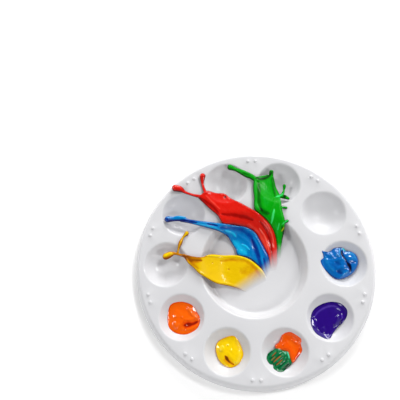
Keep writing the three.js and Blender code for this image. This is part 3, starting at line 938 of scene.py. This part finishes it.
PURPLE_DAB = {
    "name": "purple_dab", "slot": "purple_paint", "well": 9, "top": 5.3, "dome": 0.7, "seed": 79,
    "outline": [
        (52.5, -25.8), (58.5, -27), (62.4, -31), (62.4, -35.5), (60, -39.5), (56.5, -42.5),
        (52.5, -47), (50, -50.3), (47.5, -51), (44.5, -49.8), (40, -46.7), (37.5, -40.5),
        (38.5, -34), (41.5, -30), (46.5, -27.2),
    ],
    "strokes": [
        ([(40.5, -36), (43.5, -32.5), (48.5, -29.6), (54, -28.6), (59, -31)], 1.2, -0.3, 0.24),
        ([(42, -39), (46, -35), (52, -34), (56, -36)], 5.0, 0.1, -0.05),
        ([(39.9, -37), (40.2, -43)], 2.2, 0.8, 0.0),
        ([(45.8, -43.4), (45.2, -46.8)], 1.9, 0.7, 0.0),
        ([(55.8, -36), (53.6, -41.6)], 2.2, 0.8, 0.0),
        ([(58.6, -37.8), (56.8, -42)], 0.9, -0.5, -0.3),
        ([(58.8, -34.2), (59.2, -37)], 0.8, 0.2, 0.3),
        ([(49.6, -49.3), (52, -46.4), (56.5, -41.8)], 0.9, 0.3, 0.05),
        ([(48.5, -48.8)], 1.2, 0.5, 0.2),
    ],
}

BLUE_DAB = {
    "name": "blue_dab", "slot": "sky_blue_paint", "well": 0, "top": 7.7, "dome": 0.9, "seed": 83,
    "outline": [
        (47.6, 8.8), (50, 8.6), (53.5, 9.2), (56.5, 11.4), (60, 12), (63.5, 11.6), (65.3, 9.6),
        (68.5, 9.2), (71.5, 7), (73, 3), (72.2, -1.5), (69, -6), (64, -9.2), (58.5, -10.6),
        (55, -9.5), (51, -5.8), (47.5, -1.5), (46.3, 2), (48.6, 4.6),
    ],
    "strokes": [
        ([(61.8, 9.8), (61.5, 6.6), (63.2, 3.6), (65.4, 0), (66.8, -4)], 1.7, -0.7, -0.15),
        ([(61.8, 9.4), (61.5, 6.6), (63, 3.8)], 1.2, 0.0, -0.5),
        ([(62.8, 4.2), (65, 0.6), (66.4, -0.8)], 0.7, 0.0, -0.4),
        ([(64.8, -0.2), (67, -1.6)], 1.9, 0.0, -0.5),
        ([(66.9, -1.6), (66.7, -5.4)], 1.4, 0.0, -0.5),
        ([(67.8, 4.6)], 4.0, 0.35, 0.04),
        ([(65, 8), (69.5, 7), (71, 3.6)], 1.8, 0.1, 0.16),
        ([(53, 0.4), (57, -3), (62, -4)], 2.0, 0.1, -0.1),
        ([(66.6, 1.5), (69, 1.2), (71.2, 1.9)], 0.9, -0.35, -0.22),
        ([(57.4, 9), (59, 6)], 3.0, 0.35, 0.02),
        ([(60.2, 11), (60.2, 7.4), (61.4, 4.4), (63.2, 1.6)], 0.9, 0.55, 0.3),
        ([(53.4, 7.8), (54.8, 5.4)], 1.1, 0.5, 0.15),
        ([(56, 3.8)], 0.9, 0.45, 0.15),
        ([(58, 7), (59.4, 5.2)], 1.1, 0.5, 0.15),
        ([(60.2, 3)], 0.9, 0.5, 0.15),
        ([(51, 3)], 0.9, 0.4, 0.1),
        ([(68.2, 3.8)], 0.9, 0.35, 0.1),
        ([(56.8, 1.2), (59.6, -0.8)], 3.0, -0.45, -0.16),
        ([(57.6, -5.2), (61.4, -6.8)], 2.0, -0.4, -0.22),
        ([(60.5, -2.2), (63.8, -2.8)], 1.7, 0.35, 0.05),
        ([(60, -9), (62.4, -7), (65.8, -4)], 1.7, 0.55, 0.08),
        ([(61, -8), (62.2, -6.4)], 0.9, 0.4, 0.15),
        ([(63.8, -6)], 0.9, 0.4, 0.12),
        ([(48.4, -3.2), (53, -8), (58, -10.2)], 1.3, 0.0, -0.12),
        ([(50, 5), (51.6, 0), (55, -5)], 2.4, 0.3, 0.12),
    ],
    "flecks": [
        ([(62.4, 11.2), (64.4, 9.2)], 0.8),
    ],
}


# ----------------------------------------------------------------------- materials


class Nodes:
    """A short way to write the node tree of a material or a world."""

    def __init__(self, owner):
        owner.use_nodes = True
        self.owner = owner
        self.tree = owner.node_tree
        self.shader = next(n for n in self.tree.nodes if n.type in ("BSDF_PRINCIPLED", "BACKGROUND"))

    def add(self, kind, inputs=None, **settings):
        node = self.tree.nodes.new("ShaderNode" + kind)
        for key, value in settings.items():
            setattr(node, key, value)
        for key, value in (inputs or {}).items():
            self.put(node, key, value)
        return node

    def put(self, node, key, value):
        if isinstance(value, bpy.types.NodeSocket):
            self.tree.links.new(value, node.inputs[key])
        else:
            node.inputs[key].default_value = value

    def shade(self, **inputs):
        for key, value in inputs.items():
            self.put(self.shader, key.replace("_", " ").title().replace("Ior", "IOR"), value)

    def value(self, name):
        return self.add("Attribute", attribute_name=name).outputs["Fac"]

    def maths(self, operation, first, second, clamp=False):
        return self.add("Math", {0: first, 1: second}, operation=operation, use_clamp=clamp).outputs[0]

    def blend(self, share, first, second):
        node = self.add("Mix", {0: share, 6: first, 7: second}, data_type="RGBA")
        return node.outputs[2]

    def noise(self, vector, scale, detail=3.0, rough=0.5):
        node = self.add("TexNoise", {"Scale": scale, "Detail": detail, "Roughness": rough})
        self.tree.links.new(vector, node.inputs["Vector"])
        return node.outputs["Fac"]

    def ramp(self, share, stops):
        node = self.add("ValToRGB", {"Fac": share})
        ramp = node.color_ramp
        ramp.interpolation = "EASE"
        while len(ramp.elements) < len(stops):
            ramp.elements.new(0.5)
        for element, (place, colour) in zip(ramp.elements, stops):
            element.position = place
            element.color = colour
        return node.outputs["Color"]


def rgb(red, green, blue):
    """A linear colour from screen values of 0 to 255."""
    def linear(value):
        value /= 255
        return value / 12.92 if value <= 0.04045 else ((value + 0.055) / 1.055) ** 2.4
    return (linear(red), linear(green), linear(blue), 1.0)


PLASTIC = rgb(218, 218, 221)
TONE_PLACES = (0.02, 0.24, 0.5, 0.95)  # where a paint's four colours lie in its tones
STREAK_TONE = 0.08  # how far streaks change a paint's tone
CLOUD_TONE = 0.05  # and clouds


def plastic_material():
    """Glossy white moulded plastic: faint flow marks, orange peel and fine scuffs."""
    nodes = Nodes(bpy.data.materials.new("white_plastic"))
    place = nodes.add("TexCoord").outputs["Object"]
    cloud = nodes.noise(place, 22, 3)
    colour = nodes.blend(cloud, rgb(214, 214, 217), rgb(222, 222, 224))
    peel = nodes.noise(place, 420, 2)
    scuffs = nodes.noise(place, 2600, 2)
    patch = nodes.noise(place, 60, 4)
    rough = nodes.add("MapRange", {"Value": patch, 3: 0.42, 4: 0.52}).outputs[0]
    height = nodes.maths("ADD", peel, nodes.maths("MULTIPLY", scuffs, 0.15))
    bump = nodes.add("Bump", {"Strength": 0.06, "Distance": 0.0002, "Height": height})
    nodes.shade(base_color=colour, roughness=rough, ior=1.5, normal=bump.outputs[0],
                coat_weight=0.15, coat_roughness=0.04)
    return nodes.owner


def paint_material(name, tones, fleck, wet, rough):
    """Wet paint. Its tone, its flecks and where it thins to nothing come from the piece's points. The tone
    holds painted shade and painted highlights as well as the paint's own colour.
    """
    nodes = Nodes(bpy.data.materials.new(name))
    place = nodes.add("TexCoord").outputs["Object"]
    stretched = nodes.maths("MULTIPLY", nodes.value("along"), 0.35)
    flow = nodes.add("CombineXYZ", {0: nodes.value("across"), 1: stretched}).outputs[0]
    streak = nodes.noise(flow, 14, 3)
    cloud = nodes.noise(place, 260, 3)
    streaky = nodes.maths("MULTIPLY", streak, STREAK_TONE)
    cloudy = nodes.maths("MULTIPLY", cloud, CLOUD_TONE)
    wander = nodes.maths("ADD", streaky, cloudy)
    centred = nodes.maths("SUBTRACT", wander, (STREAK_TONE + CLOUD_TONE) / 2)
    tone_and_painted_light = nodes.maths("ADD", nodes.value("tone_and_painted_light"), centred, clamp=True)
    colour = nodes.ramp(tone_and_painted_light, tones)
    colour = nodes.blend(nodes.value("fleck"), colour, fleck)
    uneven = nodes.maths("ADD", 0.9, nodes.maths("MULTIPLY", cloud, 0.2))
    faded = nodes.maths("MULTIPLY", nodes.value("fade"), uneven, clamp=True)
    colour = nodes.blend(faded, colour, PLASTIC)
    fine = nodes.maths("MULTIPLY", nodes.noise(place, 700, 2), 0.4)
    height = nodes.maths("ADD", nodes.noise(flow, 26, 2), fine)
    bump = nodes.add("Bump", {"Strength": 0.12, "Distance": 0.0004, "Height": height})
    sheen = nodes.add("MapRange", {"Value": cloud, 3: rough - 0.04, 4: rough + 0.06}).outputs[0]
    nodes.shade(base_color=colour, roughness=sheen, ior=1.48, specular_ior_level=0.1,
                normal=bump.outputs[0], coat_weight=wet, coat_roughness=0.05, coat_ior=1.52)
    return nodes.owner


def look(deep, dark, middle, light, fleck=(255, 255, 255), wet=1.0, rough=0.16):
    """How a paint looks: its colours from the darkest tone to the lightest and that of its flecks,
    in screen values, how wet it is, and how rough it is under the wet."""
    tones = [(place, rgb(*colour)) for place, colour in zip(TONE_PLACES, (deep, dark, middle, light))]
    return {"tones": tones, "fleck": rgb(*fleck), "wet": wet, "rough": rough}


LOOKS = {
    "yellow_ribbon": look((140, 70, 0), (200, 125, 0), (232, 190, 0), (252, 224, 0), wet=0.15, rough=0.34),
    "blue_ribbon": look((0, 15, 100), (0, 60, 150), (0, 122, 194), (20, 190, 235), wet=0.45, rough=0.26),
    "red_ribbon": look((90, 0, 0), (165, 6, 2), (222, 26, 14), (255, 95, 75), wet=0.4, rough=0.26),
    "green_ribbon": look((0, 40, 0), (0, 105, 5), (0, 162, 8), (60, 228, 115), (170, 190, 30), 0.04, 0.36),
    "orange_dab": look((150, 26, 0), (222, 52, 0), (254, 100, 0), (255, 165, 70)),
    "yellow_dab": look((120, 60, 0), (242, 155, 0), (255, 212, 0), (255, 240, 70)),
    "orange_stroke": look((140, 20, 0), (222, 48, 0), (254, 90, 0), (255, 140, 20)),
    "green_dab": look((0, 40, 20), (0, 75, 38), (0, 110, 58), (90, 225, 175), (190, 85, 35), 0.4, 0.22),
    "purple_dab": look((15, 0, 50), (28, 2, 90), (42, 6, 126), (100, 70, 190)),
    "blue_dab": look((0, 8, 45), (0, 54, 134), (0, 105, 188), (50, 178, 230), (50, 200, 200)),
}


# --------------------------------------------------------------------------- studio


SKY_SIDE = 0.85  # brightness of the surround at the horizon
SKY_TOP = 0.06  # and straight overhead
CAMERA_PLACE = (-10.7, -64.8, 364.2)  # mm from the deck's middle
CAMERA_TURN = (17.15, 4.24, 0.41)  # degrees
LAMP_DISTANCE = 2.5  # metres from the palette's centre to each lamp
FLOOR_HALF = 3.0  # half the floor's width, in metres
FLOOR_GLOW = 0.2  # the floor is a light table, pale to its far edge


def make_camera():
    data = bpy.data.cameras.new("camera")
    camera = placed("camera", data)
    data.sensor_width = 36
    data.lens = 46.7
    x, y, above_deck = CAMERA_PLACE
    camera.location = (x * MM, y * MM, (DECK + above_deck) * MM)
    camera.rotation_euler = [math.radians(turn) for turn in CAMERA_TURN]
    data.clip_start = 0.01
    data.clip_end = 20
    bpy.context.scene.camera = camera


def soft_light(name, turn, elevation, width, height, level):
    """A far, large area light. Width and height are as seen from a metre away, and level is how
    bright the lamp alone makes a white card that faces it."""
    data = bpy.data.lights.new(name, "AREA")
    data.shape = "RECTANGLE"
    data.size = width * LAMP_DISTANCE
    data.size_y = height * LAMP_DISTANCE
    data.energy = level * 4 * math.pi * LAMP_DISTANCE**2
    lamp = placed(name, data)
    turn = math.radians(turn)
    elevation = math.radians(elevation)
    flat = math.cos(elevation)
    toward = Vector((flat * math.cos(turn), flat * math.sin(turn), math.sin(elevation)))
    lamp.location = toward * LAMP_DISTANCE
    lamp.rotation_euler = (-toward).to_track_quat("-Z", "Y").to_euler()


def make_sky():
    """A pale surround, dimmer overhead, so that wet paint keeps its colour seen from above."""
    nodes = Nodes(bpy.data.worlds.new("world"))
    direction = nodes.add("TexCoord").outputs["Generated"]
    up = nodes.add("SeparateXYZ", {0: direction}).outputs["Z"]
    below = nodes.maths("POWER", nodes.maths("SUBTRACT", 1.0, up, clamp=True), 2.0)
    level = nodes.add("MapRange", {"Value": below, 3: SKY_TOP, 4: SKY_SIDE}).outputs[0]
    nodes.shade(color=(1, 1, 1, 1), strength=level)
    bpy.context.scene.world = nodes.owner


def make_studio():
    mesh = bpy.data.meshes.new("floor")
    signs = ((-1, -1), (1, -1), (1, 1), (-1, 1))
    corners = [(x * FLOOR_HALF, y * FLOOR_HALF, 0) for x, y in signs]
    mesh.from_pydata(corners, [], [(0, 1, 2, 3)])
    floor = placed("floor", mesh)
    paper = Nodes(bpy.data.materials.new("floor_paper"))
    paper.shade(base_color=rgb(252, 252, 252), roughness=0.9,
                emission_color=rgb(255, 255, 255), emission_strength=FLOOR_GLOW)
    mesh.materials.append(paper.owner)
    make_sky()
    soft_light("key", 77, 22, 0.6, 0.34, 0.58)
    soft_light("right_window", 38, 50, 0.26, 0.2, 0.29)
    soft_light("left_window", 172, 40, 0.18, 0.26, 0.21)
    soft_light("front_right", -40, 36, 0.2, 0.24, 0.17)
    soft_light("front_left", -122, 36, 0.24, 0.2, 0.06)
    bpy.context.scene.view_settings.view_transform = "Standard"


make_camera()
make_tray(plastic_material())
for ribbon in (YELLOW, BLUE, RED, GREEN):
    make_ribbon(look=LOOKS[ribbon["name"]], **ribbon)
for dab in (ORANGE_DAB, YELLOW_DAB, ORANGE_STROKE, GREEN_DAB, PURPLE_DAB, BLUE_DAB):
    make_dab(look=LOOKS[dab["name"]], **dab)
make_studio()
